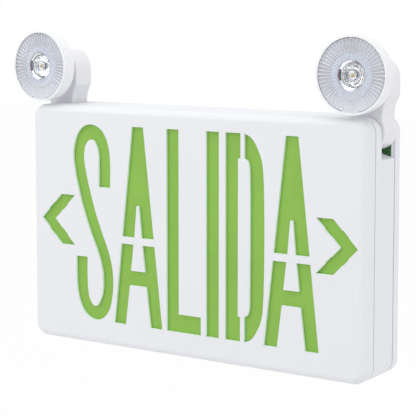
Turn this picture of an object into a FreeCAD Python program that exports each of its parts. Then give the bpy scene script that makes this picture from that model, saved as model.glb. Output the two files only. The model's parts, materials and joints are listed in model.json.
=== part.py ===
import FreeCAD, Part
import Sketcher
import os
import math

# Emergency exit light: a flat edge-lit sign housing with two adjustable lamp heads on
# swinging arms at its top corners.  Millimetres.  The origin is the middle of the back
# face, which lies on the wall.  +X is to the reader's right, +Z is up, and the sign faces
# -Y.  A "station" is a distance from the wall, counted towards the reader.

doc = FreeCAD.newDocument("ExitLight")
sheet = doc.addObject("Spreadsheet::Sheet", "Sizes")

SIZES = [
    # housing
    ("housing_width", 297.0),
    ("housing_height", 185.0),
    ("housing_depth", 50.5),
    ("corner_radius", 10.8),
    ("back_depth", 9.0),
    ("back_inset", 0.8),
    ("back_edge_chamfer", 1.2),
    ("seam_gap", 0.3),
    ("seam_chamfer", 0.4),
    # face plate and the lit stack behind it
    ("face_depth", 12.6),
    ("face_wall", 2.4),
    ("face_edge_round", 5.7),
    ("skirt_gap", 0.3),
    ("legend_thickness", 2.0),
    ("guide_thickness", 4.0),
    ("strip_height", 4.0),
    ("strip_margin", 25.0),
    # direction arrows, cut through the face
    ("arrow_margin", 7.7),
    ("legend_offset", 1.5),
    ("arrow_height", 39.4),
    ("arrow_reach", 19.5),
    ("arrow_stroke", 13.7),
    ("arrow_rise", 3.15),
    # corner slots and lamp arms
    ("pivot_inset", 11.5),
    ("pivot_drop", 9.7),
    ("slot_inner_gap", 1.4),
    ("slot_floor_gap", 6.0),
    ("arm_thickness", 19.3),
    ("arm_gap", 0.4),
    ("arm_disc_radius", 13.8),
    ("arm_neck_half", 11.7),
    ("arm_neck_top", 8.0),
    ("arm_block_half", 15.8),
    ("arm_block_foot", 24.6),
    ("arm_block_rise", 36.3),
    ("arm_waist_radius", 26.0),
    ("arm_edge_chamfer", 0.8),
    ("arm_pin_radius", 3.0),
    ("arm_pin_seat", 6.0),
    ("running_gap", 0.05),
    ("fixed_gap", 0.02),
    # lamp swivel
    ("lamp_rise", 39.7),
    ("turn_radius", 8.5),
    ("turn_depth", 5.0),
    ("stem_radius", 3.0),
    ("barb_radius", 4.3),
    ("barb_length", 3.0),
    ("barb_lead", 0.4),
    ("barb_bore_gap", 0.5),
    ("barb_recess", 4.2),
    ("end_gap", 0.3),
    ("knuckle_reach", 5.7),
    ("knuckle_radius", 3.6),
    ("tongue_thickness", 5.0),
    ("ear_thickness", 2.4),
    ("ear_gap", 0.3),
    ("knuckle_pin_radius", 1.5),
    # lamp head
    ("head_radius", 27.4),
    ("head_back_radius", 27.0),
    ("head_length", 13.3),
    ("head_stand_off", 6.2),
    ("head_shoulder", 3.0),
    ("head_wall", 1.6),
    ("head_boss_radius", 10.0),
    ("head_boss_height", 1.2),
    ("lens_gap", 0.3),
    ("lens_thickness", 2.0),
    ("lens_set_back", 0.5),
    ("lens_rim_width", 1.4),
    ("dome_radius", 9.3),
    ("dome_height", 1.8),
    ("dome_haunch", 1.35),
    ("cup_wall", 0.8),
    ("cup_mouth_radius", 9.0),
    ("cup_throat_radius", 3.2),
    ("emitter_board_radius", 20.0),
    ("emitter_board_thickness", 1.6),
    ("emitter_side", 3.6),
    ("emitter_thickness", 0.9),
    ("left_head_pan", 3.6),
    # control board behind the slots
    ("board_thickness", 1.6),
    ("board_rim", 2.2),
    ("board_height", 34.0),
    ("board_corner", 6.0),
    # test button and pilot light, in the underside
    ("button_x", 60.0),
    ("button_radius", 5.0),
    ("button_lip", 2.2),
    ("button_travel", 2.0),
    ("button_set_back", 0.3),
    ("button_flange", 1.3),
    ("button_flange_thickness", 1.6),
    ("pilot_x", 78.0),
    ("pilot_radius", 2.5),
    ("pilot_depth", 5.0),
    ("underside_station", 24.0),
    # wall fixing
    ("cable_radius", 11.0),
    ("cable_well", 12.0),
    ("screw_spacing", 88.9),
    ("screw_radius", 2.4),
    ("screw_head_radius", 7.0),
    ("screw_web", 4.0),
    ("keyhole_x", 100.0),
    ("keyhole_z", 40.0),
    ("keyhole_radius", 4.5),
    ("keyhole_slot_radius", 2.3),
    ("keyhole_slot_length", 9.0),
    ("keyhole_depth", 5.0),
]

for row, (alias, number) in enumerate(SIZES, start=1):
    sheet.set("A%d" % row, alias.replace("_", " "))
    sheet.set("B%d" % row, str(number))
    sheet.setAlias("B%d" % row, alias)
doc.recompute()


class Length:
    """A number together with the sheet expression that gives it."""

    def __init__(self, text, value):
        self.text = text
        self.value = value

    def join(self, sign, other, value):
        return Length("(%s %s %s)" % (self.text, sign, as_length(other).text), value)

    def __add__(self, other):
        return self.join("+", other, self.value + as_length(other).value)

    def __sub__(self, other):
        return self.join("-", other, self.value - as_length(other).value)

    def __mul__(self, other):
        return self.join("*", other, self.value * as_length(other).value)

    def __truediv__(self, other):
        return self.join("/", other, self.value / as_length(other).value)

    def __neg__(self):
        return Length("(0 - %s)" % self.text, -self.value)


def as_length(item):
    return item if isinstance(item, Length) else Length(repr(float(item)), float(item))


class Sheet:
    """Reads a size of the spreadsheet by its alias, as a Length."""

    def __getattr__(self, alias):
        return Length("Sizes." + alias, float(getattr(sheet, alias)))


size = Sheet()


def bind(item, path, amount):
    item.setExpression(path, as_length(amount).text)


# Sketch and feature helpers

def new_body(label):
    body = doc.addObject("PartDesign::Body", label)
    body.Label = label
    return body


def new_sketch(body, plane, offset=0.0):
    """Sketch on one of the body's own planes, moved along its normal."""
    sketch = body.newObject("Sketcher::SketchObject", body.Name + "_Sketch")
    origin = [item for item in body.Origin.OriginFeatures if item.Role == plane][0]
    sketch.AttachmentSupport = (origin, "")
    sketch.MapMode = "FlatFace"
    bind(sketch, "AttachmentOffset.Base.z", offset)
    return sketch


def pin_point(sketch, geometry, position, x, y):
    """Ties one point of a sketch to its place."""
    for kind, axis, amount in (("DistanceX", -2, as_length(x)), ("DistanceY", -1, as_length(y))):
        if amount.text == "0.0":
            sketch.addConstraint(Sketcher.Constraint("PointOnObject", geometry, position, axis))
            continue
        index = sketch.addConstraint(
            Sketcher.Constraint(kind, -1, 1, geometry, position, amount.value))
        bind(sketch, "Constraints[%d]" % index, amount)


def circle(sketch, radius, x=0.0, y=0.0):
    centre = FreeCAD.Vector(as_length(x).value, as_length(y).value, 0)
    geometry = sketch.addGeometry(
        Part.Circle(centre, FreeCAD.Vector(0, 0, 1), as_length(radius).value))
    index = sketch.addConstraint(
        Sketcher.Constraint("Radius", geometry, as_length(radius).value))
    bind(sketch, "Constraints[%d]" % index, radius)
    pin_point(sketch, geometry, 3, x, y)


def arc_between(first, last, radius, left):
    """Arc of the given radius from first to last, its centre left or right of the chord."""
    chord = last - first
    middle = (first + last) * 0.5
    height = math.sqrt(radius ** 2 - chord.Length ** 2 / 4)
    side = FreeCAD.Vector(-chord.y, chord.x, 0).normalize() * (height if left else -height)
    centre = middle + side
    start, end = (first, last) if left else (last, first)
    turn = [math.atan2(point.y - centre.y, point.x - centre.x) for point in (start, end)]
    full = Part.Circle(centre, FreeCAD.Vector(0, 0, 1), radius)
    return Part.ArcOfCircle(full, turn[0], turn[1])


def outline(sketch, points, arcs=None):
    """Closed outline through points.  arcs gives (radius, centre lies left) for the side
    that starts at that point; every other side is straight."""
    arcs = arcs or {}
    places = [FreeCAD.Vector(as_length(x).value, as_length(y).value, 0) for x, y in points]
    sides = []
    for number, place in enumerate(places):
        following = places[(number + 1) % len(places)]
        if number in arcs:
            radius, left = arcs[number]
            arc = arc_between(place, following, as_length(radius).value, left)
            geometry = sketch.addGeometry(arc)
            index = sketch.addConstraint(
                Sketcher.Constraint("Radius", geometry, as_length(radius).value))
            bind(sketch, "Constraints[%d]" % index, radius)
            sides.append((geometry, 1, 2) if left else (geometry, 2, 1))
        else:
            geometry = sketch.addGeometry(Part.LineSegment(place, following))
            sides.append((geometry, 1, 2))
    for number, (x, y) in enumerate(points):
        before = sides[number - 1]
        after = sides[number]
        sketch.addConstraint(
            Sketcher.Constraint("Coincident", before[0], before[2], after[0], after[1]))
        pin_point(sketch, after[0], after[1], x, y)


def box_outline(sketch, left, right, bottom, top):
    outline(sketch, [(left, bottom), (right, bottom), (right, top), (left, top)])


def rounded_outline(sketch, half_width, half_height, corner):
    """Rectangle about the origin with quarter-round corners."""
    flat_x = half_width - corner
    flat_y = half_height - corner
    points = [
        (flat_x, -half_height), (half_width, -flat_y), (half_width, flat_y), (flat_x, half_height),
        (-flat_x, half_height), (-half_width, flat_y), (-half_width, -flat_y),
        (-flat_x, -half_height)]
    outline(sketch, points, {number: (corner, True) for number in (0, 2, 4, 6)})


def feature(body, kind, sketch, **sizes):
    """A sketch-based feature whose sizes are bound to the sheet."""
    item = body.newObject("PartDesign::" + kind, body.Name + "_" + kind)
    item.Profile = sketch
    for name, amount in sizes.items():
        if isinstance(amount, bool):
            setattr(item, name, amount)
        else:
            setattr(item, name, as_length(amount).value)
            bind(item, name, amount)
    sketch.Visibility = False
    return item


def pad(body, sketch, length, reversed_way=False):
    item = feature(body, "Pad", sketch, Length=length, Reversed=reversed_way)
    doc.recompute()
    return item


def pocket(body, sketch, depth, reversed_way=False):
    """Cuts away the sketch to a depth, and stops if nothing was cut."""
    before = body.Shape.Volume
    item = feature(body, "Pocket", sketch, Length=depth, Reversed=reversed_way)
    doc.recompute()
    if not body.Shape.Volume < before - 1e-6:
        raise RuntimeError("pocket in %s cuts nothing" % body.Label)
    return item


def revolve(body, points, plane="XY_Plane"):
    """Solid of revolution about the body's Y axis, or about its Z axis on the XZ plane;
    points are (radius, place along the axis)."""
    sketch = new_sketch(body, plane)
    outline(sketch, points)
    item = body.newObject("PartDesign::Revolution", body.Name + "_Revolution")
    item.Profile = sketch
    item.ReferenceAxis = (sketch, ["V_Axis"])
    item.Angle = 360
    doc.recompute()
    return item


def dress(body, kind, wanted, amount):
    """Fillet or Chamfer on the edges that wanted() picks."""
    tip = body.Tip
    names = ["Edge%d" % (number + 1) for number, edge in enumerate(tip.Shape.Edges) if wanted(edge)]
    if not names:
        raise RuntimeError("no edge to dress on " + body.Label)
    item = body.newObject("PartDesign::" + kind, body.Name + "_" + kind)
    item.Base = (tip, names)
    bind(item, "Radius" if kind == "Fillet" else "Size", amount)
    doc.recompute()
    return item


def near(first, second):
    return abs(first - second) < 1e-3


def lies_at_station(edge, station):
    box = edge.BoundBox
    return near(box.YMin, -station) and near(box.YMax, -station)


def slab(body, width, height, corner, station, depth):
    """Block with rounded corners, from a station and towards the reader."""
    sketch = new_sketch(body, "XZ_Plane", station)
    rounded_outline(sketch, width / 2, height / 2, corner)
    pad(body, sketch, depth)


def place(body, x, y, z, pan=None):
    """Puts a finished body in the assembly; pan turns it about its own Z axis."""
    if pan is not None:
        body.Placement = FreeCAD.Placement(
            FreeCAD.Vector(), FreeCAD.Rotation(FreeCAD.Vector(0, 0, 1), as_length(pan).value))
    for axis, amount in (("x", x), ("y", y), ("z", z)):
        bind(body, "Placement.Base." + axis, amount)


# Stations of the stacked layers, from the wall outwards
housing_back = size.back_depth + size.seam_gap
face_back = size.housing_depth - size.face_depth
housing_front = face_back - size.seam_gap
legend_front = size.housing_depth - size.face_wall
guide_front = legend_front - size.legend_thickness
plinth_front = guide_front - size.guide_thickness
arm_back = size.back_depth + size.arm_gap
arm_front = arm_back + size.arm_thickness
slot_front = arm_front + size.arm_gap

# Heights and half sizes
top = size.housing_height / 2
side = size.housing_width / 2
pivot_x = side - size.pivot_inset
pivot_z = top - size.pivot_drop
slot_inner = pivot_x - size.arm_disc_radius - size.slot_inner_gap
slot_floor = pivot_z - size.arm_disc_radius - size.slot_floor_gap
inset = size.face_wall + size.skirt_gap
plinth_width = size.housing_width - inset * 2
plinth_height = size.housing_height - inset * 2
plinth_corner = size.corner_radius - inset
lamp_z = pivot_z + size.lamp_rise
knuckle_station = arm_front + size.knuckle_reach


def make_face_plate():
    """Moulded front with a skirt; the arrows are cut through it."""
    body = new_body("face_plate")
    slab(body, size.housing_width, size.housing_height, size.corner_radius, face_back, size.face_depth)
    dress(body, "Fillet", lambda edge: lies_at_station(edge, size.housing_depth.value),
          size.face_edge_round)
    sketch = new_sketch(body, "XZ_Plane", face_back)
    wall = size.face_wall
    rounded_outline(sketch, side - wall, top - wall, size.corner_radius - wall)
    pocket(body, sketch, size.face_depth - size.face_wall, reversed_way=True)
    for way in (-1, 1):
        cut_arrow(body, way)
    return body


def cut_arrow(body, way):
    """Chevron through the face wall, pointing away from the middle."""
    sketch = new_sketch(body, "XZ_Plane", size.housing_depth)
    tip = side - size.arrow_margin
    tail = tip - size.arrow_reach
    half = size.arrow_height / 2
    rise = size.arrow_rise
    points = [
        (tip, rise), (tail, rise + half), (tail - size.arrow_stroke, rise + half),
        (tip - size.arrow_stroke, rise), (tail - size.arrow_stroke, rise - half),
        (tail, rise - half)]
    if way < 0:
        points = [(-x, z) for x, z in points]
    outline(sketch, [(x + size.legend_offset, z) for x, z in points])
    pocket(body, sketch, size.face_wall)


def make_layer(label, width, height, corner, station, depth):
    body = new_body(label)
    slab(body, width, height, corner, station, depth)
    return body


def make_strip(label, way):
    """Bar of light emitters along one edge of the light guide."""
    body = new_body(label)
    outer = plinth_height / 2
    low, high = outer - size.strip_height, outer
    if way < 0:
        low, high = -outer, size.strip_height - outer
    sketch = new_sketch(body, "XZ_Plane", plinth_front)
    half_length = plinth_width / 2 - size.strip_margin
    box_outline(sketch, -half_length, half_length, low, high)
    pad(body, sketch, size.guide_thickness)
    return body


def make_main_housing():
    """Middle housing: a plinth for the face plate, and a shelf along the back of its top.
    The battery box stands on the shelf and leaves a slot for an arm at each end of it."""
    body = new_body("main_housing")
    slab(body, size.housing_width, size.housing_height, size.corner_radius,
         housing_back, housing_front - housing_back)
    rims = (housing_back.value, housing_front.value)
    dress(body, "Chamfer", lambda edge: any(lies_at_station(edge, rim) for rim in rims),
          size.seam_chamfer)
    sketch = new_sketch(body, "XZ_Plane", housing_front)
    rounded_outline(sketch, plinth_width / 2, plinth_height / 2, plinth_corner)
    pad(body, sketch, plinth_front - housing_front)
    past = size.corner_radius
    sketch = new_sketch(body, "XZ_Plane", housing_back)
    box_outline(sketch, -side - past, side + past, slot_floor, top + past)
    pocket(body, sketch, slot_front - housing_back, reversed_way=True)
    for way in (-1, 1):
        sketch = new_sketch(body, "XZ_Plane", slot_front)
        circle(sketch, size.arm_pin_radius + size.fixed_gap, pivot_x * way, pivot_z)
        pocket(body, sketch, size.arm_pin_seat, reversed_way=True)
    cut_button_well(body)
    cut_wire_well(body)
    return body


def make_battery_box():
    """Closed box for the battery; its ends are the inner walls of the two arm slots."""
    body = new_body("battery_box")
    sketch = new_sketch(body, "XZ_Plane", housing_back)
    box_outline(sketch, -slot_inner, slot_inner, slot_floor, top)
    pad(body, sketch, slot_front - housing_back)
    dress(body, "Chamfer", lambda edge: lies_at_station(edge, housing_back.value)
          and near(edge.BoundBox.ZMin, top.value), size.seam_chamfer)
    return body


def cut_button_well(body):
    """Stepped well that keeps the test button in, and the seat of the pilot light."""
    bottom = -top
    bore = size.button_radius + size.running_gap
    chamber = size.button_radius + size.button_flange + size.ear_gap
    chamber_height = size.button_flange_thickness + size.button_travel + size.end_gap * 2
    sketch = new_sketch(body, "XY_Plane", bottom)
    circle(sketch, bore, size.button_x, -size.underside_station)
    pocket(body, sketch, size.button_lip, reversed_way=True)
    sketch = new_sketch(body, "XY_Plane", bottom + size.button_lip)
    circle(sketch, chamber, size.button_x, -size.underside_station)
    pocket(body, sketch, chamber_height, reversed_way=True)
    sketch = new_sketch(body, "XY_Plane", bottom)
    circle(sketch, size.pilot_radius + size.fixed_gap, size.pilot_x, -size.underside_station)
    pocket(body, sketch, size.pilot_depth, reversed_way=True)


def cut_wire_well(body):
    """Room behind the back plate for the supply wires."""
    sketch = new_sketch(body, "XZ_Plane", housing_back)
    circle(sketch, size.cable_radius + size.skirt_gap)
    pocket(body, sketch, size.cable_well, reversed_way=True)


def make_back_plate():
    """Back plate with the cable entry, box screws, keyholes and a seat for the board."""
    body = new_body("back_plate")
    inset_both = size.back_inset * 2
    slab(body, size.housing_width - inset_both, size.housing_height - inset_both,
         size.corner_radius - size.back_inset, 0.0, size.back_depth)
    dress(body, "Chamfer", lambda edge: lies_at_station(edge, 0.0), size.back_edge_chamfer)
    cut_board_seat(body)
    sketch = new_sketch(body, "XZ_Plane")
    circle(sketch, size.cable_radius)
    pocket(body, sketch, size.back_depth, reversed_way=True)
    for way in (-1, 1):
        sketch = new_sketch(body, "XZ_Plane")
        circle(sketch, size.screw_radius, size.screw_spacing / 2 * way)
        pocket(body, sketch, size.back_depth, reversed_way=True)
        sketch = new_sketch(body, "XZ_Plane", size.screw_web)
        circle(sketch, size.screw_head_radius, size.screw_spacing / 2 * way)
        pocket(body, sketch, size.back_depth - size.screw_web, reversed_way=True)
        for rise in (-1, 1):
            cut_keyhole(body, size.keyhole_x * way, size.keyhole_z * rise)
    return body


def cut_board_seat(body):
    """Shallow seat for the control board, between the plate's rims and behind both slots."""
    sketch = new_sketch(body, "XZ_Plane", size.back_depth)
    board_outline(sketch, 0.0)
    pocket(body, sketch, size.board_thickness)


def board_outline(sketch, gap):
    """Outline of the control board, or of its seat when gap is 0."""
    half = side - size.back_inset - size.board_rim - gap
    high = top - size.back_inset - size.board_rim - gap
    low = high - size.board_height + gap
    corner = size.board_corner
    points = [
        (-half, low), (half, low), (half, high - corner), (half - corner, high),
        (-half + corner, high), (-half, high - corner)]
    outline(sketch, points, {2: (corner, True), 4: (corner, True)})


def cut_keyhole(body, x, z):
    """Hanging slot: a hole for the screw head with a narrow slot above it."""
    sketch = new_sketch(body, "XZ_Plane")
    circle(sketch, size.keyhole_radius, x, z)
    pocket(body, sketch, size.keyhole_depth, reversed_way=True)
    sketch = new_sketch(body, "XZ_Plane")
    narrow = size.keyhole_slot_radius
    reach = size.keyhole_slot_length
    points = [(x - narrow, z), (x + narrow, z), (x + narrow, z + reach), (x - narrow, z + reach)]
    outline(sketch, points)
    pocket(body, sketch, size.keyhole_depth, reversed_way=True)


def make_control_board():
    body = new_body("control_board")
    sketch = new_sketch(body, "XZ_Plane", size.back_depth)
    board_outline(sketch, size.end_gap)
    pad(body, sketch, size.board_thickness, reversed_way=True)
    return body


def make_test_button():
    """Sprung push button; its flange is held behind the lip of the well."""
    body = new_body("test_button")
    stem = size.button_radius
    rim = stem + size.button_flange
    shoulder = size.button_lip - size.button_set_back + size.running_gap * 2
    crown = shoulder + size.button_flange_thickness
    profile = [(0, 0), (stem, 0), (stem, shoulder), (rim, shoulder), (rim, crown), (0, crown)]
    revolve(body, profile, "XZ_Plane")
    place(body, size.button_x, -size.underside_station, -top + size.button_set_back)
    return body


def make_pilot_lens():
    """Small domed light pipe beside the button."""
    body = new_body("pilot_lens")
    radius = size.pilot_radius
    flat = size.button_set_back
    high = size.pilot_depth - flat
    profile = [(0, 0), (radius / 2, 0), (radius, radius / 2), (radius, high), (0, high)]
    revolve(body, profile, "XZ_Plane")
    place(body, size.pilot_x, -size.underside_station, -top + flat)
    return body


# Lamps.  Each is built about its own pivot or knuckle and then put in place.

def make_lamp_arm(label, way):
    """Swinging arm: a disc in the slot, a waisted neck and a round-topped block."""
    body = new_body(label)
    neck = size.arm_neck_half
    block = size.arm_block_half
    sketch = new_sketch(body, "XZ_Plane", arm_back)
    circle(sketch, size.arm_disc_radius)
    pad(body, sketch, size.arm_thickness)
    sketch = new_sketch(body, "XZ_Plane", arm_back)
    outline(sketch, [
        (-neck, 0), (neck, 0), (neck, size.arm_neck_top), (block, size.arm_block_foot),
        (block, size.arm_block_rise), (-block, size.arm_block_rise),
        (-block, size.arm_block_foot), (-neck, size.arm_neck_top)],
        {2: (size.arm_waist_radius, False), 6: (size.arm_waist_radius, False)})
    pad(body, sketch, size.arm_thickness)
    sketch = new_sketch(body, "XZ_Plane", arm_back)
    circle(sketch, block, 0, size.arm_block_rise)
    pad(body, sketch, size.arm_thickness)
    bores = [
        (arm_front - size.turn_depth, size.turn_radius + size.running_gap, size.lamp_rise,
         size.turn_depth),
        (arm_back, size.barb_radius + size.barb_bore_gap, size.lamp_rise, size.barb_recess),
        (arm_back, size.stem_radius + size.running_gap, size.lamp_rise, size.arm_thickness),
        (arm_back, size.arm_pin_radius + size.running_gap, 0, size.arm_thickness)]
    for station, radius, height, depth in bores:
        sketch = new_sketch(body, "XZ_Plane", station)
        circle(sketch, radius, 0, height)
        pocket(body, sketch, depth, reversed_way=True)
    faces = (arm_back.value, arm_front.value)
    dress(body, "Chamfer", lambda edge: len(edge.Vertexes) == 2
          and any(lies_at_station(edge, face) for face in faces), size.arm_edge_chamfer)
    place(body, pivot_x * way, 0, pivot_z)
    return body


def make_arm_pin(label, way):
    """Pin of the arm, fixed in the housing and running in the arm's disc."""
    body = new_body(label)
    sketch = new_sketch(body, "XZ_Plane", housing_back)
    circle(sketch, size.arm_pin_radius)
    pad(body, sketch, slot_front + size.arm_pin_seat - size.end_gap - housing_back)
    place(body, pivot_x * way, 0, pivot_z)
    return body


def make_lamp_swivel(label, way):
    """Turntable snapped into the arm, with two ears for the knuckle pin."""
    body = new_body(label)
    seat = knuckle_station - arm_front
    back = seat + size.turn_depth - size.end_gap
    barb_front = knuckle_station - arm_back - size.barb_recess + size.end_gap
    barb_back = barb_front + size.barb_length
    tip = size.stem_radius - size.barb_lead
    revolve(body, [
        (0, seat), (size.turn_radius, seat), (size.turn_radius, back), (size.stem_radius, back),
        (size.stem_radius, barb_front), (size.barb_radius, barb_front), (tip, barb_back),
        (0, barb_back)])
    ear_inner = size.tongue_thickness / 2 + size.ear_gap
    for rise in (-1, 1):
        ear_middle = (ear_inner + size.ear_thickness / 2) * rise
        sketch = new_sketch(body, "XY_Plane", ear_middle - size.ear_thickness / 2)
        circle(sketch, size.knuckle_radius)
        pad(body, sketch, size.ear_thickness)
        sketch = new_sketch(body, "XY_Plane", ear_middle - size.ear_thickness / 2)
        box_outline(sketch, -size.knuckle_radius, size.knuckle_radius, 0, seat + size.end_gap)
        pad(body, sketch, size.ear_thickness)
    sketch = new_sketch(body, "XY_Plane", -size.turn_radius)
    circle(sketch, size.knuckle_pin_radius + size.fixed_gap)
    pocket(body, sketch, size.turn_radius * 2, reversed_way=True)
    place(body, pivot_x * way, -knuckle_station, lamp_z)
    return body


def make_knuckle_pin(label, way):
    body = new_body(label)
    half = size.tongue_thickness / 2 + size.ear_gap + size.ear_thickness
    sketch = new_sketch(body, "XY_Plane", -half)
    circle(sketch, size.knuckle_pin_radius)
    pad(body, sketch, half * 2)
    place(body, pivot_x * way, -knuckle_station, lamp_z)
    return body


# Places along the lamp head's axis, from the knuckle; the head looks along -Y
head_back = -size.head_stand_off
head_floor = head_back - size.head_wall
head_front = head_back - size.head_length
lens_front = head_front + size.lens_set_back
lens_back = lens_front + size.lens_thickness
board_front = head_floor - size.emitter_board_thickness
cavity_radius = size.head_back_radius - size.head_wall
lens_radius = size.head_radius - size.head_wall


def make_lamp_shell(label):
    """Round lamp body: an open drum with a tongue for the knuckle."""
    body = new_body(label)
    shoulder = size.head_shoulder
    back_radius = size.head_back_radius
    boss = size.head_boss_radius
    boss_top = head_back + size.head_boss_height
    revolve(body, [
        (0, head_floor), (cavity_radius - size.head_wall, head_floor),
        (cavity_radius - size.head_wall, lens_back + size.lens_rim_width),
        (lens_radius, lens_back + size.lens_rim_width), (lens_radius, head_front),
        (size.head_radius, head_front), (back_radius, head_back - shoulder),
        (back_radius - shoulder, head_back), (boss, head_back),
        (boss - size.head_boss_height, boss_top), (0, boss_top)])
    thickness = size.tongue_thickness
    sketch = new_sketch(body, "XY_Plane", -thickness / 2)
    circle(sketch, size.knuckle_radius)
    pad(body, sketch, thickness)
    sketch = new_sketch(body, "XY_Plane", -thickness / 2)
    box_outline(sketch, -size.knuckle_radius, size.knuckle_radius, head_back - size.end_gap, 0)
    pad(body, sketch, thickness)
    sketch = new_sketch(body, "XY_Plane", -thickness / 2)
    circle(sketch, size.knuckle_pin_radius + size.running_gap)
    pocket(body, sketch, thickness, reversed_way=True)
    return body


def make_lamp_lens(label):
    """Clear lens with a skirt behind its rim and a dome over the emitter."""
    body = new_body(label)
    radius = lens_radius - size.lens_gap
    dome = size.dome_radius
    crown = lens_front - size.dome_height
    haunch = lens_front - size.dome_haunch
    revolve(body, [
        (0, lens_back), (0, crown), (dome / 2, haunch), (dome, lens_front), (radius, lens_front),
        (radius, lens_back + size.lens_rim_width),
        (radius - size.lens_rim_width, lens_back + size.lens_rim_width),
        (radius - size.lens_rim_width, lens_back)])
    return body


def make_reflector(label):
    """Bright cup from the emitter out to the lens."""
    body = new_body(label)
    wall = size.cup_wall
    revolve(body, [
        (size.cup_throat_radius, board_front), (size.cup_mouth_radius, lens_back),
        (size.cup_mouth_radius + wall, lens_back), (size.cup_throat_radius + wall, board_front)])
    return body


def make_emitter_board(label):
    body = new_body(label)
    sketch = new_sketch(body, "XZ_Plane", -head_floor)
    circle(sketch, size.emitter_board_radius)
    pad(body, sketch, size.emitter_board_thickness)
    return body


def make_emitter(label):
    body = new_body(label)
    half = size.emitter_side / 2
    sketch = new_sketch(body, "XZ_Plane", -board_front)
    box_outline(sketch, -half, half, -half, half)
    pad(body, sketch, size.emitter_thickness)
    return body


def make_lamp(side_name, way, pan):
    """All pieces of one lamp."""
    pieces = [
        make_lamp_arm(side_name + "_lamp_arm", way),
        make_arm_pin(side_name + "_arm_pin", way),
        make_lamp_swivel(side_name + "_lamp_swivel", way),
        make_knuckle_pin(side_name + "_knuckle_pin", way)]
    head = [
        make_lamp_shell(side_name + "_lamp_shell"),
        make_lamp_lens(side_name + "_lamp_lens"),
        make_reflector(side_name + "_reflector"),
        make_emitter_board(side_name + "_emitter_board"),
        make_emitter(side_name + "_emitter")]
    for body in head:
        place(body, pivot_x * way, -knuckle_station, lamp_z, pan)
    return pieces + head


def make_parts():
    guide_height = plinth_height - size.strip_height * 2
    parts = [
        make_back_plate(),
        make_control_board(),
        make_main_housing(),
        make_battery_box(),
        make_layer("light_guide", plinth_width, guide_height, plinth_corner,
                   plinth_front, size.guide_thickness),
        make_strip("upper_light_strip", 1),
        make_strip("lower_light_strip", -1),
        make_layer("legend_panel", plinth_width, plinth_height, plinth_corner,
                   guide_front, size.legend_thickness),
        make_face_plate(),
        make_test_button(),
        make_pilot_lens()]
    parts += make_lamp("right", 1, 0.0)
    parts += make_lamp("left", -1, -size.left_head_pan)
    return parts


def check_and_write(parts):
    doc.recompute()
    for item in doc.Objects:
        if "Invalid" in item.State or "Error" in item.State:
            raise RuntimeError("%s is %s" % (item.Label, item.State))
    for body in parts:
        if body.Shape.isNull() or not body.Shape.isValid():
            raise RuntimeError(body.Label + " has no valid shape")
    os.makedirs("parts", exist_ok=True)
    for body in parts:
        body.Shape.exportStep(os.path.join("parts", body.Label + ".step"))
        print("%-22s %2d solid  %10.1f mm3" % (
            body.Label, len(body.Shape.Solids), body.Shape.Volume))


check_and_write(make_parts())
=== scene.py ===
import json
import math

import bmesh
import bpy
from bpy.props import FloatProperty, FloatVectorProperty, IntProperty, PointerProperty
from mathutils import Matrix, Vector


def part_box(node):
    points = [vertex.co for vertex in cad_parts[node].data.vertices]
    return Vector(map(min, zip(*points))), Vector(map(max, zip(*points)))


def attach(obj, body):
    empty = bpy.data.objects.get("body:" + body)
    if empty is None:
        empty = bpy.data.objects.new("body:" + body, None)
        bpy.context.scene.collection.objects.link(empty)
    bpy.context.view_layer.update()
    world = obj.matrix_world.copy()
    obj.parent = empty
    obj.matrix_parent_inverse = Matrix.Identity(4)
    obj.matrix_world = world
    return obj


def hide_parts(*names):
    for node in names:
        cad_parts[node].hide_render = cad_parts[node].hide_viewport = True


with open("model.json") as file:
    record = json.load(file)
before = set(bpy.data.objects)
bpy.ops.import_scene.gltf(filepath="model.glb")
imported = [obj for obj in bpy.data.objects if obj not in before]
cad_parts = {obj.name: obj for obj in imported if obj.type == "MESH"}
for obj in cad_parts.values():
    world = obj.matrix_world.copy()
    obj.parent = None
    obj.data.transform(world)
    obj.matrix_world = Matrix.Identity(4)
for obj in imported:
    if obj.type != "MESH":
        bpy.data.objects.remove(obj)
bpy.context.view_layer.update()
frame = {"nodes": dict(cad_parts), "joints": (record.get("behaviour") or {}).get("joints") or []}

bl_info = {
    "name": "Emergency Exit Light",
    "version": (1, 0, 0),
    "blender": (4, 5, 0),
    "location": "3D View > Sidebar > Exit Light",
    "description": "Builds an edge-lit exit sign with two lamp heads around its packed frame",
    "category": "Object",
}

MM = 0.001
QUARTER = math.radians(90)
SIDES = {"right": 1, "left": -1}
CAMERA_PLACE = (0.60574, -0.92349, 0.16905)
CAMERA_DOWN, CAMERA_LEFT = math.radians(5.641), math.radians(33.921)
CAMERA_SHIFT = -0.14
FLOOR_WHITE = 0.97  # share of plain white in the floor; the rest keeps the shadow
CORNER_STEPS = 16  # segments of each of the housing's corners

# The knuckle of each lamp, in millimetres: its ears hold the lamp's tongue on a pin
LUG_HALF, LUG_STEPS = 3.6, 10
EAR_INNER, EAR_OUTER, EAR_ROOT, EAR_BORE = 2.8, 5.2, 6.0, 1.52
TONGUE_HALF, TONGUE_ROOT, TONGUE_BORE = 2.5, -6.5, 1.55


# Settings

def length(label, millimetres, description):
    """A length property that shows its unit in the panel."""
    return FloatProperty(name=label, default=millimetres * MM, min=0.0, precision=5,
                         subtype="DISTANCE", unit="LENGTH", description=description)


def colour(label, value, description):
    return FloatVectorProperty(name=label, default=value, size=3, min=0.0, max=1.0,
                               subtype="COLOR", description=description)


def amount(label, value, description):
    return FloatProperty(name=label, default=value, min=0.0, description=description)


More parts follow.
